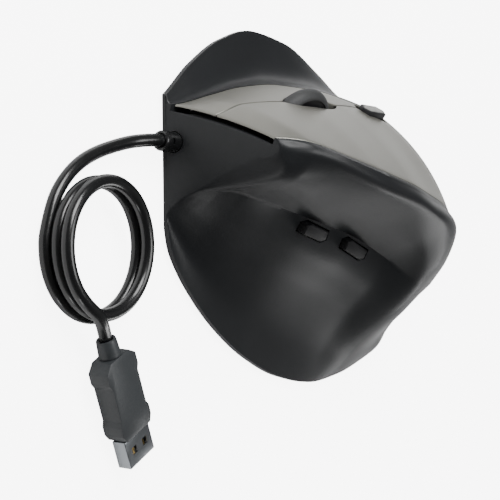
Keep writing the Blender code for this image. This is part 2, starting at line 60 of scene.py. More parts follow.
UNDER_COVER = 1.7      # room under the covers for their travel
GAP = 0.35             # gap between the covers and the housing
LOW_EDGE = 0.03        # the covers' edges, as a share of their width
HIGH_EDGE = 0.97
SPLIT_GAP = 0.45       # width of the line between the two buttons
COVER_FRONT_Y = 58.4
COVER_REAR_Y = -50.0
CAVITY_FRONT_Y = 53.6
CAVITY_REAR_Y = -53.0
EDGE_R = 0.35          # small rounding of moulded edges
FRONT_R = 6.0          # rounding between the front wall and the thumb side
SLOT_BACK, SLOT_FRONT = 0.8, 31.6   # ends of the slot round the wheel
SLOT_UPPER, SLOT_LOWER = 3.3, 3.5   # how far the slot reaches from the split line
DPI_HALF_L, DPI_HALF_W = 6.6, 2.85  # half sizes of the hole round the resolution button
LIP_T, LIP_TAPER = 0.55, 4.0        # the covers' front edge, and the length over which they thicken
LIP_SUNK = 1.9         # depth of the housing's front edge below the lip
SUNK_RAMP = 0.4        # how fast the housing sinks deeper behind its front edge
STATIONS = (59.0, 57.5, 55.0, 48.0, 34.0, 18.0, 0.0, -18.0, -34.0, -48.0, -55.0, -58.4, -59.0)

# Each line runs from the front to the rear of the body, one (x, z) or x for each station.
FAR_RIM = (30.2, 31.4, 33.8, 40.4, 49.3, 53.8, 52, 45, 36.7, 28.6, 20, 10.5, 4)
NEAR_RIM = (-7, -13.5, -18, -25.8, -36.9, -45.8, -51.8, -54, -51.6, -47.2, -44, -39, -34)
FAR_WING = ((28.9, 2.7), (29.6, 2.8), (31, 3), (35.5, 3.4), (41, 4), (43.8, 4.4), (43.5, 4.7), (40.2, 5.2),
            (34.8, 6), (28, 6), (18, 4.5), (9.5, 3), (3, 2.2))
FAR_FILLET = ((28.2, 2.9), (28.6, 3.3), (29.6, 3.9), (32.6, 4.8), (37, 6), (39.4, 7), (39.6, 7.6),
              (37.4, 8.6), (32.4, 9.5), (25.5, 9.5), (16, 7), (8.5, 3.6), (2.5, 2.4))
COVER_LOW = ((27.6, 3.2), (27.9, 4.2), (28.6, 5.2), (31, 6.8), (35.2, 8.8), (37.5, 10.6), (37.8, 11.6),
             (35.8, 14), (31, 18), (23.5, 17), (14.5, 11), (8, 5.6), (3, 3.6))
RIDGE = ((16.6, 38), (16.5, 39.3), (16.3, 41), (15.4, 45), (12.2, 49), (9, 50.6), (6, 50.2), (3, 47.2),
         (1, 42.6), (0, 33), (-1, 22.5), (-2, 11), (-3, 5))
SHOULDER = ((13.2, 38.6), (13, 40.2), (12.8, 41.8), (11.8, 44.8), (8.3, 47.6), (4.4, 49.8), (1.4, 50.9),
            (-2.2, 49.2), (-4.2, 45.2), (-6, 36.5), (-6, 25), (-6, 12.5), (-5, 5.6))
WALL = ((6.2, 33), (6.2, 34.5), (6, 36), (5, 38), (2.8, 38), (-0.5, 39), (-4, 40.8), (-9.5, 41),
        (-15, 40), (-14.5, 34), (-14, 23.5), (-11.5, 12), (-8, 5.6))
CREASE = ((2.2, 12), (2.5, 16), (2.5, 19.5), (1, 23.5), (-1.4, 25.2), (-4.5, 27), (-8, 28), (-14, 29),
          (-22, 33.5), (-22, 28.5), (-20.5, 20.5), (-16, 11), (-11, 5.6))
SHELF = ((0.6, 8), (0.2, 11), (-1, 13.6), (-4, 17), (-8.2, 19.8), (-12.5, 22.5), (-16.5, 24), (-23, 24),
         (-30.5, 25.6), (-31, 18), (-28, 13.5), (-22, 8.5), (-16, 5.2))
SCOOP_HIGH = ((-1.6, 5), (-2.8, 6.4), (-4.8, 7.8), (-9.8, 9.8), (-16, 11.6), (-21.5, 13.6), (-26, 14.6),
              (-32, 14.8), (-38.5, 15.5), (-38.5, 10.8), (-35, 9), (-29, 6.5), (-24, 4.6))
SCOOP_LOW = ((-4, 2.5), (-7, 2.6), (-10, 3), (-17, 3.9), (-26, 5), (-33, 6), (-38.5, 6.3), (-43, 6.4),
             (-45.5, 7.6), (-43.6, 7.2), (-40.5, 6), (-35, 4.4), (-30, 3.2))

SPLIT = (0.42, 0.41, 0.394, 0.35, 0.335, 0.295, 0.24, 0.13, 0.1, 0.1, 0.1, 0.1, 0.1)


def slope_at(ys, values, i):
    """Slope of a smooth curve through the values, kept flat where they turn."""
    if i in (0, len(ys) - 1):
        j = 0 if i == 0 else i - 1
        return (values[j + 1] - values[j]) / (ys[j + 1] - ys[j])
    before = (values[i] - values[i - 1]) / (ys[i] - ys[i - 1])
    after = (values[i + 1] - values[i]) / (ys[i + 1] - ys[i])
    if before * after <= 0.0:
        return 0.0
    return 2.0 * before * after / (before + after)


def along(values, y):
    """Value at y of one feature line given at the stations."""
    y = min(max(y, STATIONS[-1]), STATIONS[0])
    i = 0
    while i < len(STATIONS) - 2 and y < STATIONS[i + 1]:
        i += 1
    step = STATIONS[i + 1] - STATIONS[i]
    t = (y - STATIONS[i]) / step
    a = slope_at(STATIONS, values, i) * step
    b = slope_at(STATIONS, values, i + 1) * step
    t2 = t * t
    t3 = t2 * t
    return ((2 * t3 - 3 * t2 + 1) * values[i] + (t3 - 2 * t2 + t) * a
            + (3 * t2 - 2 * t3) * values[i + 1] + (t3 - t2) * b)


def feature(line, y):
    return (along([p[0] for p in line], y), along([p[1] for p in line], y))


def lean(x, y, z):
    """The front wall leans back and stands a little askew: both fade out over the first part of the body."""
    fade = min(max((y - 30.0) / 29.0, 0.0), 1.0)
    return y + (0.055 * (x + 2.0) - 0.125 * z) * fade * fade


def cover_point(s, y, lift=0.0):
    """Point on the covers: s runs from their low edge (0) to the ridge (1)."""
    x0, z0 = feature(COVER_LOW, y)
    x1, z1 = feature(RIDGE, y)
    dx, dz = x1 - x0, z1 - z0
    length = max((dx * dx + dz * dz) ** 0.5, 0.01)
    nx, nz = dz / length, -dx / length
    nose = max(y - 49.0, 0.0) ** 2 * 0.018
    out = (COVER_BULGE * min(length / 40.0, 1.0) - nose) * 4.0 * s * (1.0 - s) + lift
    return (x0 + s * dx + nx * out, z0 + s * dz + nz * out)


def curve_through(points, steps):
    """Smooth curve through (x, z) points, without its last point."""
    out = []
    for i in range(len(points) - 1):
        p0 = points[max(i - 1, 0)]
        p1, p2 = points[i], points[i + 1]
        p3 = points[min(i + 2, len(points) - 1)]
        for k in range(steps):
            t = k / steps
            out.append(tuple(0.5 * (2 * b + (c - a) * t + (2 * a - 5 * b + 4 * c - d) * t * t
                                    + (3 * b - a - 3 * c + d) * t ** 3)
                             for a, b, c, d in zip(p0, p1, p2, p3)))
    return out


def section(y, sunk):
    """Outline of the body at y, from the far wing over the top to the near wing, each point with how far the
    front edge is rounded there.  Under the covers the top is sunk between their edges."""
    far, near = along(FAR_RIM, y), along(NEAR_RIM, y)
    wing = [(far, FLOOR_GAP + RIM_T), feature(FAR_WING, y), feature(FAR_FILLET, y), feature(COVER_LOW, y)]
    span = HIGH_EDGE - LOW_EDGE
    top = [cover_point(0.0, y), cover_point(LOW_EDGE, y)]
    top += [cover_point(LOW_EDGE + span * k / 24.0, y, -sunk) for k in range(25)]
    top.append(cover_point(HIGH_EDGE, y))
    wall = curve_through([feature(RIDGE, y), feature(SHOULDER, y), feature(WALL, y), feature(CREASE, y)], 9)
    scoop = [feature(CREASE, y), feature(SHELF, y), feature(SCOOP_HIGH, y), feature(SCOOP_LOW, y),
             (near, FLOOR_GAP + RIM_T)]
    outline = [(far, FLOOR_GAP, EDGE_R)]
    outline += [(x, z, EDGE_R) for x, z in curve_through(wing, 6) + top]
    flat = len(wall) // 3
    outline += [(x, z, EDGE_R) for x, z in wall[:flat]]
    for k, (x, z) in enumerate(wall[flat:]):
        outline.append((x, z, EDGE_R + FRONT_R * sin(pi * k / (2 * flat)) ** 1.5))
    outline += [(x, z, EDGE_R) for x, z in curve_through(scoop, 8) + [scoop[-1], (near, FLOOR_GAP)]]
    return outline


def body_ring(y, sunk=0.0):
    """The section at y, drawn in near the front so that the front wall's edge is round."""
    outline = section(y, sunk)
    ring = []
    for i, (x, z, r) in enumerate(outline):
        ax, az, _ = outline[i - 1]
        bx, bz, _ = outline[(i + 1) % len(outline)]
        length = max(((bx - ax) ** 2 + (bz - az) ** 2) ** 0.5, 1e-6)
        inset = r - (r * r - max(r - (STATIONS[0] - y), 0.0) ** 2) ** 0.5
        px = x - (bz - az) / length * inset
        pz = max(z + (bx - ax) / length * inset, FLOOR_GAP)
        ring.append((px, lean(px, y, pz), pz))
    return ring


def cavity_section(y):
    """Outline of the inside at y: the covers, the wall and the shelf moved in by the wall."""
    low = feature(COVER_LOW, y)
    line = [cover_point(k / 6.0, y) for k in range(6)]
    for name in (SHOULDER, WALL, CREASE, SHELF, SCOOP_HIGH):
        line.append(feature(name, y))
    moved = []
    for i, (x, z) in enumerate(line):
        ax, az = line[max(i - 1, 0)]
        bx, bz = line[min(i + 1, len(line) - 1)]
        length = ((bx - ax) ** 2 + (bz - az) ** 2) ** 0.5
        moved.append((x - (bz - az) / length * WALL_T, z + (bx - ax) / length * WALL_T))
    return [(low[0] - 3.2, -1.0)] + moved + [(moved[-1][0] + 0.4, -1.0)]


def station_list(first, last, count):
    """Stations from front to rear, closer together near both ends."""
    shares = [0.5 - 0.5 * cos(pi * (0.06 + 0.88 * k / (count - 1))) for k in range(count)]
    return [first + (last - first) * share for share in shares]


# ---- mesh helpers -----------------------------------------------------------------------------------

def vec(x, y, z):
    return Vector((x * MM, y * MM, z * MM))


def mesh_from(bm, name):
    mesh = bpy.data.meshes.new(name)
    bm.to_mesh(mesh)
    bm.free()
    return mesh


def loft_mesh(name, rings, caps=True):
    """Skin through closed rings of (x, y, z) points."""
    bm = bmesh.new()
    rows = [[bm.verts.new(vec(*p)) for p in ring] for ring in rings]
    for a, b in zip(rows, rows[1:]):
        for i in range(len(a)):
            j = (i + 1) % len(a)
            bm.faces.new((a[i], a[j], b[j], b[i]))
    if caps:
        bm.faces.new(rows[0][::-1])
        bm.faces.new(rows[-1])
        bmesh.ops.recalc_face_normals(bm, faces=bm.faces)
        if bm.calc_volume(signed=True) < 0.0:
            bmesh.ops.reverse_faces(bm, faces=bm.faces)
        bmesh.ops.triangulate(bm, faces=[f for f in bm.faces if len(f.verts) > 4])
    return mesh_from(bm, name)


def link(name, mesh, matrix=None):
    made = bpy.data.objects.new(name, mesh)
    bpy.context.scene.collection.objects.link(made)
    if matrix is not None:
        made.matrix_world = matrix
    return made


def soften(mesh, degrees_=34.0):
    """Smooth shading with edges kept sharp past an angle."""
    for face in mesh.polygons:
        face.use_smooth = True
    mesh.set_sharp_from_angle(angle=radians(degrees_))


def bake(made, degrees_=34.0):
    """Applies an object's modifiers and puts its place into its mesh."""
    bpy.context.view_layer.update()
    graph = bpy.context.evaluated_depsgraph_get()
    mesh = bpy.data.meshes.new_from_object(made.evaluated_get(graph))
    made.modifiers.clear()
    made.data = mesh
    made.data.transform(made.matrix_world)
    made.matrix_world = Matrix()
    soften(made.data, degrees_)
    return made


def cut_all(made, tools):
    """Cuts the tools out of a piece and removes them."""
    for tool in tools:
        modifier = made.modifiers.new("Cut", "BOOLEAN")
        modifier.operation = "DIFFERENCE"
        modifier.solver = "EXACT"
        modifier.object = tool
    bake(made)
    for tool in tools:
        bpy.data.objects.remove(tool, do_unlink=True)
    return made


def rounded_outline(name, points, z0, z1, round_, matrix, steps=3):
    """Prism of an outline with both ends rounded, placed by a matrix."""
    bm = bmesh.new()
    low = [bm.verts.new(vec(x, y, z0)) for x, y in points]
    face = bm.faces.new(low)
    grown = bmesh.ops.extrude_face_region(bm, geom=[face])
    top = [g for g in grown["geom"] if isinstance(g, bmesh.types.BMVert)]
    bmesh.ops.translate(bm, vec=vec(0, 0, z1 - z0), verts=top)
    bmesh.ops.recalc_face_normals(bm, faces=bm.faces)
    if round_:
        bmesh.ops.bevel(bm, geom=bm.edges[:], offset=round_ * MM, segments=steps, affect="EDGES",
                        profile=0.5)
    mesh = mesh_from(bm, name)
    made = link(name, mesh, matrix)
    return bake(made)


def turned(name, profile, matrix, steps=64):
    """Closed turned solid about Z from (radius, height) pairs, its ends on the axis or joined."""
    bm = bmesh.new()
    ring_count = len(profile)
    rows = []
    for k in range(steps):
        a = 2 * pi * k / steps
        rows.append([bm.verts.new(vec(r * cos(a), r * sin(a), h)) for r, h in profile])
    for k in range(steps):
        a, b = rows[k], rows[(k + 1) % steps]
        for i in range(ring_count - 1):
            bm.faces.new((a[i], a[i + 1], b[i + 1], b[i]))
    bmesh.ops.remove_doubles(bm, verts=bm.verts, dist=1e-7)
    bmesh.ops.recalc_face_normals(bm, faces=bm.faces)
    return bake(link(name, mesh_from(bm, name), matrix))


def rounded_box(name, size, matrix, round_):
    x, y, z = (v / 2 for v in size)
    return rounded_outline(name, [(-x, -y), (x, -y), (x, y), (-x, y)], -z, z, round_, matrix)


def at(place, turn=(0, 0, 0)):
    """Matrix of a place in millimetres and a turn in degrees, X first."""
    rotation = (Matrix.Rotation(radians(turn[2]), 4, "Z") @ Matrix.Rotation(radians(turn[1]), 4, "Y")
                @ Matrix.Rotation(radians(turn[0]), 4, "X"))
    return Matrix.Translation(vec(*place)) @ rotation


# ---- materials --------------------------------------------------------------------------------------

GLOSS_VARY = 0.06


def finish_material(name, colour, roughness, metallic=0.0, grain=900.0, bump=0.04, vary=0.08, coat=0.0,
                    specular=0.5):
    """Painted, moulded or metal surface: fine grain as a bump, with soft changes of colour and gloss."""
    made = bpy.data.materials.new(name)
    made.use_nodes = True
    nodes, links = made.node_tree.nodes, made.node_tree.links
    shader = nodes["Principled BSDF"]
    shader.inputs["Metallic"].default_value = metallic
    shader.inputs["Coat Weight"].default_value = coat
    shader.inputs["Coat Roughness"].default_value = 0.12
    shader.inputs["Specular IOR Level"].default_value = specular
    place = nodes.new("ShaderNodeTexCoord")
    soft = nodes.new("ShaderNodeTexNoise")
    soft.inputs["Scale"].default_value = 38.0
    soft.inputs["Detail"].default_value = 4.0
    fine = nodes.new("ShaderNodeTexNoise")
    fine.inputs["Scale"].default_value = grain
    fine.inputs["Detail"].default_value = 2.0
    ramp = nodes.new("ShaderNodeValToRGB")
    ramp.color_ramp.elements[0].position = 0.3
    ramp.color_ramp.elements[1].position = 0.7
    ramp.color_ramp.elements[0].color = (*[c * (1.0 - vary) for c in colour], 1.0)
    ramp.color_ramp.elements[1].color = (*[min(c * (1.0 + vary), 1.0) for c in colour], 1.0)
    gloss = nodes.new("ShaderNodeMapRange")
    gloss.inputs["To Min"].default_value = max(roughness - GLOSS_VARY, 0.03)
    gloss.inputs["To Max"].default_value = min(roughness + GLOSS_VARY, 1.0)
    raised = nodes.new("ShaderNodeBump")
    raised.inputs["Strength"].default_value = bump
    raised.inputs["Distance"].default_value = 0.0004
    for texture in (soft, fine):
        links.new(place.outputs["Object"], texture.inputs["Vector"])
    links.new(soft.outputs["Fac"], ramp.inputs["Fac"])
    links.new(ramp.outputs["Color"], shader.inputs["Base Color"])
    links.new(soft.outputs["Fac"], gloss.inputs["Value"])
    links.new(gloss.outputs["Result"], shader.inputs["Roughness"])
    links.new(fine.outputs["Fac"], raised.inputs["Height"])
    links.new(raised.outputs["Normal"], shader.inputs["Normal"])
    return made


def paint(made, finish):
    made.data.materials.clear()
    made.data.materials.append(finish)
    return made


BLACK = finish_material("black_housing", (0.015, 0.016, 0.0175), 0.36, grain=1500.0, bump=0.05,
                        specular=0.3)
GREY = finish_material("grey_paint", (0.228, 0.224, 0.200), 0.36, 0.55, grain=3200.0, bump=0.10,
                       vary=0.03)
DARK = finish_material("dark_plastic", (0.012, 0.012, 0.013), 0.42, grain=1200.0, bump=0.06)
BUTTON = finish_material("thumb_button_plastic", (0.009, 0.0092, 0.01), 0.5, grain=1800.0,
                         bump=0.04, specular=0.15)
RUBBER = finish_material("wheel_rubber", (0.035, 0.036, 0.037), 0.58, grain=2200.0, bump=0.25)
CORD = finish_material("cord_jacket", (0.0075, 0.0078, 0.0082), 0.26, grain=900.0, bump=0.03, coat=0.25)
PLUG = finish_material("plug_overmould_rubber", (0.035, 0.039, 0.042), 0.42, grain=1600.0, bump=0.12)
SHELL = finish_material("plug_shell_metal", (0.34, 0.36, 0.38), 0.32, 1.0, grain=1400.0, bump=0.03)
STEEL = finish_material("steel", (0.5, 0.5, 0.52), 0.3, 1.0, grain=1400.0, bump=0.03)
BOARD = finish_material("circuit_board", (0.015, 0.11, 0.045), 0.4, grain=700.0, bump=0.1)
CHIP = finish_material("chip_plastic", (0.012, 0.012, 0.012), 0.5, grain=900.0, bump=0.1)
CLEAR = finish_material("pale_plastic", (0.6, 0.62, 0.62), 0.25, grain=600.0, bump=0.03)
GLIDE = finish_material("glide_foot_plastic", (0.06, 0.06, 0.062), 0.3, grain=700.0, bump=0.08)
GOLD = finish_material("contact_gold", (0.75, 0.52, 0.2), 0.25, 1.0, grain=700.0, bump=0.03)
CAP = finish_material("button_cap_texture", (0.30, 0.30, 0.285), 0.42, 0.2, grain=2600.0, bump=0.5,
                      vary=0.12)

SLOT_FINISH = {"housing": BLACK, "inner": DARK, "paint": GREY, "rubber": RUBBER, "board": BOARD,
               "chip": CHIP, "steel": STEEL, "clear": CLEAR, "glide": GLIDE, "cord": CORD, "plug": PLUG,
               "gold": GOLD}


# ---- housing and covers -----------------------------------------------------------------------------

DECK = at((22.6, 10.0, 30.6), (0, 55.0, 0))
WHEEL_X, WHEEL_Y, WHEEL_Z = 10.4, 8.2, -5.6
WHEEL_R = 13.0
WHEEL_W = 5.0
CABLE_X, CABLE_Z, CABLE_END_Y = 16.5, 4.6, 65.8
DPI_SPOT = (0.13, -23.0)
THUMB_SPOTS = (("forward", 17.0), ("back", -3.5))
SHELF_SHARE = 0.36     # where the thumb keys sit between the crease and the shelf
SHELF_LIFT = 0.25
COVER_COLUMNS = 22
BORE_R = 3.2           # hole for the strain relief


def split_s(y):
    """Where the line between the two buttons runs across the covers."""
    return along(SPLIT, y)


def cover_place(s, y):
    """Matrix on the covers' face, its Z pointing out."""
    ax, az = cover_point(s - 0.02, y)
    bx, bz = cover_point(s + 0.02, y)
    x, z = cover_point(s, y)
    return at((x, y, z), (0, degrees(atan2(bz - az, ax - bx)), 0))


def shelf_place(y):
    """Matrix on the thumb shelf just under its top edge, its Z pointing out."""
    cx, cz = feature(CREASE, y)
    sx, sz = feature(SHELF, y)
    slope = degrees(atan2(cz - sz, cx - sx))
    ahead = feature(CREASE, y + 4.0)
    behind = feature(CREASE, y - 4.0)
    yaw = -degrees(atan2(ahead[0] - behind[0], 8.0))
    middle = (cx + (sx - cx) * SHELF_SHARE, y, cz + (sz - cz) * SHELF_SHARE + SHELF_LIFT)
    return at(middle, (0, -slope, 0)) @ Matrix.Rotation(radians(yaw), 4, "Z")


def thumb_outline(grow):
    """Slim hexagon with slanted ends, long in Y."""
    a, b, c = 6.8 + grow, 4.6 + grow, 1.9 + grow
    return [(-0.8, -a), (c, -a + 0.6), (c, b), (0.8, a), (-c, a - 0.6), (-c, -b)]


def dpi_outline(grow):
    """Long hexagon."""
    a, b, c = 6.2 + grow, 4.4 + grow, 2.5 + grow
    return [(0, -a), (c, -b), (c, b), (0, a), (-c, b), (-c, -b)]


def cover_width(y):
    x0, z0 = feature(COVER_LOW, y)
    x1, z1 = feature(RIDGE, y)
    return max(((x1 - x0) ** 2 + (z1 - z0) ** 2) ** 0.5, 1.0)


def housing_rings():
    """Sections of the housing: fine round its front edge, sunk under the covers, full behind them."""
    sunk = COVER_T + UNDER_COVER
    rear = COVER_REAR_Y - GAP
    ys = [STATIONS[0] - (FRONT_R + EDGE_R) * (1.0 - cos(pi / 2 * k / 16)) for k in range(17)]
    ys += station_list(52.2, rear, 84)
    rings = [body_ring(y, min(LIP_SUNK + (STATIONS[0] - y) * SUNK_RAMP, sunk)) for y in ys]
    rings += [body_ring(y) for y in [ys[-1] - 0.01] + station_list(rear - 0.7, -58.8, 18) + [STATIONS[-1]]]
    return rings


def make_housing():
    housing = link("housing_skin", loft_mesh("housing_skin", housing_rings()))
    inside = []
    for y in station_list(CAVITY_FRONT_Y, CAVITY_REAR_Y, 20):
        inside.append([(x, lean(x, y, z), z) for x, z in cavity_section(y)])
    tools = [link("cavity", loft_mesh("cavity", inside))]
    bore = [(0, 7), (BORE_R, 7), (BORE_R, -7), (0, -7)]
    tools.append(turned("cable_hole", bore, at((CABLE_X, 56, CABLE_Z), (-90, 0, 0))))
    for name, y in THUMB_SPOTS:
        tools.append(rounded_outline(name + "_hole", thumb_outline(0.45), -9.0, 6.0, 0, shelf_place(y)))
    cut_all(housing, tools)
    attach(housing, "base")
    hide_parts("main_housing")
    paint(housing, BLACK)


def split_gap(y):
    """Distances from the split line to its upper and its lower side: a thin line, wider round the wheel
    and the resolution button, and nothing behind that."""
    line = SPLIT_GAP / 2
    t = (2.0 * y - SLOT_FRONT - SLOT_BACK) / (SLOT_FRONT - SLOT_BACK)
    if abs(t) < 1.0:
        share = (1.0 - abs(t) ** 3.2) ** 0.75
        return (max(line, SLOT_UPPER * share), max(line, SLOT_LOWER * share))
    behind = y < DPI_SPOT[1]
    reach = DPI_HALF_L - abs(y - DPI_SPOT[1])
    if reach > 0.0:
        half = min(DPI_HALF_W, reach * DPI_HALF_W / 1.8)
        return (half, half) if behind else (max(half, line), max(half, line))
    return (0.0, 0.0) if behind else (line, line)


def half_cover_ring(y, upper, droop):
    """Ring of one half of the covers: a rounded edge, the outer face, a rounded edge, the inner face."""
    width = cover_width(y)
    gap = split_gap(y)[0 if upper else 1]
    side = GAP / width
    low = split_s(y) + gap / width if upper else LOW_EDGE + side
    high = HIGH_EDGE - side if upper else split_s(y) - gap / width
    flush = gap < 0.01
    r_low = 0.0 if (flush and upper) else EDGE_R
    r_high = 0.0 if (flush and not upper) else EDGE_R
    ring = []
    for k in range(4):
        a = pi / 2 * k / 4
        s = low + r_low * (1 - sin(a)) / width
        ring.append(cover_point(s, y, -r_low * (1 - cos(pi / 2 - a)) - droop))
    for k in range(COVER_COLUMNS + 1):
        s = low + r_low / width + (high - low - (r_low + r_high) / width) * k / COVER_COLUMNS
        ring.append(cover_point(s, y, -droop))
    for k in range(4):
        a = pi / 2 * (k + 1) / 4
        s = high - r_high * (1 - sin(a)) / width
        ring.append(cover_point(s, y, -r_high * (1 - cos(a)) - droop))
    thick = min(LIP_T + (COVER_T - LIP_T) * (COVER_FRONT_Y - y) / LIP_TAPER, COVER_T)
    for k in range(7):
        ring.append(cover_point(high + (low - high) * k / 6.0, y, -thick))
    return [(x, lean(x, y, z), z) for x, z in ring]


def half_cover(name, upper):
    """One half of the covers, with its front edge rounded too."""
    ys = [COVER_FRONT_Y - 0.02 * k * k for k in range(6)]
    start = COVER_FRONT_Y - 0.8
    ys += [start - (start - COVER_REAR_Y) * k / 150.0 for k in range(151)]
    rings = []
    for n, y in enumerate(ys):
        rings.append(half_cover_ring(y, upper, EDGE_R * max(0.0, 1.0 - n / 4.0) ** 2))
    made = link(name, loft_mesh(name, rings))
    soften(made.data, 40.0)
    return made


def make_covers():
    upper = half_cover("upper_cover", True)
    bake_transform(upper)
    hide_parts("left_button", "palm_cover")
    paint(upper, GREY)
    lower = half_cover("lower_cover", False)
    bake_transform(lower)
    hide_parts("right_button")
    paint(lower, GREY)


# ---- wheel and buttons ------------------------------------------------------------------------------

def make_wheel():
    place = DECK @ Matrix.Translation(vec(WHEEL_X, WHEEL_Y, WHEEL_Z)) @ Matrix.Rotation(pi / 2, 4, "Y")
    steps = 192
    half = WHEEL_W / 2
    crown = [(WHEEL_R - 2.0, half)]
    crown += [(WHEEL_R - 2.2 * (1.0 - sin(a)), half * cos(a)) for a in [pi * k / 14 for k in range(15)]]
    crown.append((WHEEL_R - 2.0, -half))
    rings = []
    for k in range(steps):
        a = 2 * pi * k / steps
        rings.append([(p * cos(a), p * sin(a), h) for p, h in crown])
    rings.append(rings[0])
    bm = bmesh.new()
    bm.from_mesh(loft_mesh("tyre", rings, caps=False))
    bmesh.ops.remove_doubles(bm, verts=bm.verts, dist=1e-7)
    bmesh.ops.recalc_face_normals(bm, faces=bm.faces)
    tyre = bake(link("ribbed_tyre", mesh_from(bm, "ribbed_tyre"), place), 50.0)
    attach(tyre, "wheel")
    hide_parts("wheel_tyre")
    paint(tyre, RUBBER)


DPI_DEPTH, DPI_RISE = 3.4, 1.7
CAP_RISE = 1.85
KEY_DEPTH, KEY_RISE = 4.0, 1.3


def make_dpi_button():
    place = cover_place(*DPI_SPOT)
    body = rounded_outline("dpi_body", dpi_outline(-0.05), -DPI_DEPTH, DPI_RISE, 0.25, place)
    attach(body, "dpi_button")
    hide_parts("dpi_button")
    paint(body, DARK)
    cap = rounded_outline("dpi_cap", dpi_outline(-0.7), DPI_RISE - 0.4, CAP_RISE, 0.15, place)
    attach(cap, "dpi_button")
    paint(cap, CAP)


def make_thumb_buttons():
    for name, y in THUMB_SPOTS:
        outline = thumb_outline(0.05)
        body = rounded_outline(name + "_key", outline, -KEY_DEPTH, KEY_RISE, 0.45, shelf_place(y), 4)
        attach(body, name + "_button")
        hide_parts(name + "_button")
        paint(body, BUTTON)


# ---- cord and plug ----------------------------------------------------------------------------------

CORD_D = 3.8
SHELL_X, SHELL_L = 30.4, 8.7
COIL_CENTRE = (-15.5, 93.0)
COIL_R = 18.5
COIL_PITCH = 3.95
COIL_FROM, COIL_TO = 78.0, 866.0     # degrees
RELIEF_L = 14.0
PLUG_TURN = (0, 4.6, 209.5)
LEAD = [(CABLE_X, 63.5, CABLE_Z), (CABLE_X, 67.0, CABLE_Z), (16.1, 71.5, 3.7), (15.2, 77.0, 2.5),
        (13.4, 84.0, 1.95), (11.2, 91.0, 1.95), (8.2, 97.5, 1.95), (3.8, 103.4, 1.95), (-2.4, 108.2, 1.95)]
TAIL = [(-33.8, 99.0, 10.4), (-35.8, 96.2, 9.5), (-37.8, 93.4, 8.0), (-39.2, 91.5, 6.9), (-40.6, 90.0, 6.2)]


def cord_route():
    """The lead's points, then the coil's turns from a loop, then the last stretch down to the plug."""
    route = list(LEAD)
    turns = int((COIL_TO - COIL_FROM) / 15)
    for k in range(turns + 1):
        angle = COIL_FROM + (COIL_TO - COIL_FROM) * k / turns
        a = radians(angle)
        z = CORD_D / 2 + 0.05 + COIL_PITCH * (angle - COIL_FROM) / 360.0
        r = COIL_R + 0.35 * sin(a * 0.53)
        route.append((COIL_CENTRE[0] + r * cos(a), COIL_CENTRE[1] + r * sin(a), z))
    return route + TAIL


def make_cord():
    """The cord as a mesh tube, and the line that it follows."""
    path = [vec(*p) for p in curve_through(cord_route(), 4) + [TAIL[-1]]]
    data = bpy.data.curves.new("cord", "CURVE")
    data.dimensions = "3D"
    data.bevel_depth = CORD_D / 2 * MM
    data.bevel_resolution = 6
    data.use_fill_caps = True
    line = data.splines.new("POLY")
    line.points.add(len(path) - 1)
    for spot, p in zip(line.points, path):
        spot.co = (*p, 1.0)
    guide = link("cord_line", data)
    bpy.context.view_layer.update()
    tube = guide.evaluated_get(bpy.context.evaluated_depsgraph_get())
    cord = link("cord", bpy.data.meshes.new_from_object(tube))
    bpy.data.objects.remove(guide, do_unlink=True)
    soften(cord.data, 60.0)
    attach(cord, "base")
    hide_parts("usb_cord", "usb_cord_coil", "usb_cord_tail")
    paint(cord, CORD)
    return cord, path


def make_strain_relief():
    place = at((CABLE_X, CABLE_END_Y - RELIEF_L, CABLE_Z), (-90, 0, 0))
    profile = [(1.95, 11.0), (1.95, 13.6), (2.1, 13.9), (2.4, 14.0), (2.8, 13.8), (3.0, 13.3), (3.0, 1.5),
               (3.6, 1.5), (3.6, 0), (1.0, 0), (1.0, 11.0), (1.95, 11.0)]
    relief = turned("strain_relief_skin", profile, place, 48)
    slits = []
    for height, turn in ((12.3, pi / 2), (12.3, -pi / 2), (10.9, 0.0), (10.9, pi)):
        spot = place @ Matrix.Rotation(turn, 4, "Z") @ Matrix.Translation(vec(0, 3.9, height))
        slits.append(rounded_box("slit", (1.6, 6.0, 0.7), spot, 0.0))
    cut_all(relief, slits)
    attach(relief, "base")
    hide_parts("strain_relief")
    paint(relief, CORD)


def plug_piece(made, finish, slot, *nodes):
    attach(made, "base")
    if nodes:
        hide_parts(*nodes)
    return paint(made, finish)


def make_plug():
    place = at((-39.8, 90.6, 6.3), PLUG_TURN)
    along_x = place @ Matrix.Rotation(pi / 2, 4, "Y")
    neck = [(0, 5.4), (3.3, 5.4), (3.2, 4.6), (2.95, 1.0), (2.8, 0.45), (2.5, 0.3), (2.1, 0.45),
            (2.0, 1.6), (0, 1.6)]
    plug_piece(turned("plug_neck_skin", neck, along_x, 40), PLUG, "plug", "plug_neck")
    half = [(5.7, 4.2), (8.0, 7.0), (11.5, 7.0), (13.0, 6.2), (23.5, 6.2), (25.0, 7.0), (27.9, 7.0),
            (30.1, 5.8)]
    outline = half + [(x, -y) for x, y in reversed(half)]
    body = rounded_outline("plug_body", outline, -3.4, 3.4, 0.25, place, 2)
    plug_piece(body, PLUG, "plug", "plug_overmould")
    middle = SHELL_X + SHELL_L / 2
    spot = place @ Matrix.Translation(vec(middle, 0, 0))
    shell = rounded_box("plug_shell_skin", (SHELL_L, 12, 4.5), spot, 0.3)
    spot = place @ Matrix.Translation(vec(middle + 0.6, 0, 0))
    tools = [rounded_box("inside", (SHELL_L, 11.3, 3.8), spot, 0)]
    for y in (-2.5, 2.5):
        for z in (-3.2, 3.2):
            spot = place @ Matrix.Translation(vec(SHELL_X + 4.2, y, z))
            tools.append(rounded_box("window", (2.2, 2.2, 4), spot, 0))
    cut_all(shell, tools)
    plug_piece(shell, SHELL, "steel", "plug_shell")
    return [body, shell]


# ---- carried-over nodes -----------------------------------------------------------------------------

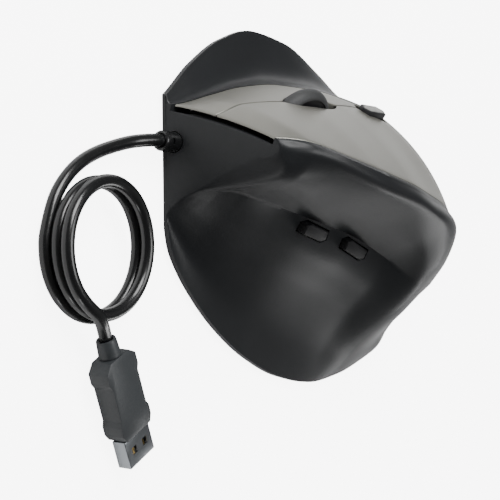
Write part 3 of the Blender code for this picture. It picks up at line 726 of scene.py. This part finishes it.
def finish_nodes():
    """Every CAD node takes the fine material of its slot."""
    slots = {s["node"]: s["material_slot"] for s in frame["record"]["subparts"]}
    for name, node in frame["nodes"].items():
        paint(node, SLOT_FINISH[slots[name]])


# ---- studio -----------------------------------------------------------------------------------------

def floor_material():
    """White floor that shows white but lights the object only a little from below."""
    made = bpy.data.materials.new("studio_floor")
    made.use_nodes = True
    nodes, links = made.node_tree.nodes, made.node_tree.links
    shader = nodes["Principled BSDF"]
    shader.inputs["Base Color"].default_value = (0.8, 0.8, 0.8, 1.0)
    shader.inputs["Roughness"].default_value = 0.9
    shader.inputs["Emission Color"].default_value = (1.0, 1.0, 1.0, 1.0)
    seen = nodes.new("ShaderNodeLightPath")
    strength = nodes.new("ShaderNodeMapRange")
    strength.inputs["To Min"].default_value = 0.3
    strength.inputs["To Max"].default_value = 7.0
    links.new(seen.outputs["Is Camera Ray"], strength.inputs["Value"])
    links.new(strength.outputs["Result"], shader.inputs["Emission Strength"])
    return made


def area_light(name, place, target, size, power):
    data = bpy.data.lights.new(name, "AREA")
    data.shape = "RECTANGLE"
    data.size, data.size_y = size
    data.energy = power
    made = bpy.data.objects.new(name, data)
    bpy.context.scene.collection.objects.link(made)
    made.location = place
    made.rotation_euler = (Vector(target) - Vector(place)).to_track_quat("-Z", "Y").to_euler()


def make_world():
    """Dim surroundings, brighter near the horizon."""
    world = bpy.data.worlds.new("studio")
    bpy.context.scene.world = world
    world.use_nodes = True
    nodes, links = world.node_tree.nodes, world.node_tree.links
    place = nodes.new("ShaderNodeTexCoord")
    axes = nodes.new("ShaderNodeSeparateXYZ")
    ramp = nodes.new("ShaderNodeValToRGB")
    ramp.color_ramp.elements[0].position = 0.05
    ramp.color_ramp.elements[0].color = (0.3, 0.3, 0.3, 1.0)
    ramp.color_ramp.elements[1].position = 0.35
    ramp.color_ramp.elements[1].color = (0.10, 0.10, 0.10, 1.0)
    links.new(place.outputs["Generated"], axes.inputs["Vector"])
    links.new(axes.outputs["Z"], ramp.inputs["Fac"])
    links.new(ramp.outputs["Color"], nodes["Background"].inputs["Color"])


def make_studio():
    bm = bmesh.new()
    bmesh.ops.create_grid(bm, x_segments=1, y_segments=1, size=6.0)
    floor = link("studio_floor", mesh_from(bm, "studio_floor"), Matrix.Translation((0, 0, -0.0003)))
    floor.data.materials.append(floor_material())
    make_world()
    area_light("key", (0.55, 0.25, 0.6), (0.02, 0, 0.03), (0.45, 0.45), 8.0)
    area_light("rear", (-0.45, -0.62, 0.17), (-0.02, 0, 0.02), (0.5, 0.12), 1.1)
    area_light("top", (0.05, -0.15, 0.8), (-0.02, 0, 0.02), (0.4, 0.4), 3.0)
    area_light("side", (-0.7, 0.25, 0.06), (0, 0, 0.03), (0.12, 0.12), 0.35)


def make_camera():
    """The mouse is seen from its cable end and above, with the picture turned a quarter turn."""
    elevation = radians(35.0)
    turn = radians(2.0)
    distance = 640.0
    target = Vector((-13.0, 13.2, 0.0))
    back = Vector((-sin(turn) * cos(elevation), cos(turn) * cos(elevation), sin(elevation)))
    right = (Vector((0, 0, 1)) - sin(elevation) * back).normalized()
    up = back.cross(right)
    data = bpy.data.cameras.new("camera")
    data.lens = 150.0
    data.clip_start = 0.01
    made = bpy.data.objects.new("camera", data)
    bpy.context.scene.collection.objects.link(made)
    axes = Matrix((right, up, back)).transposed().to_4x4()
    made.matrix_world = Matrix.Translation((target + back * distance) * MM) @ axes
    bpy.context.scene.camera = made


# ---- build ------------------------------------------------------------------------------------------

finish_nodes()
make_housing()
make_covers()
make_wheel()
make_dpi_button()
make_thumb_buttons()
make_strain_relief()
CORD_PIECE, CORD_PATH = make_cord()
PLUG_PIECES = make_plug()
PLUG_NODES = [frame["nodes"]["plug_tongue"]]
PLUG_NODES += [frame["nodes"]["plug_contact_%d" % k] for k in (1, 2, 3, 4)]
make_studio()
make_camera()
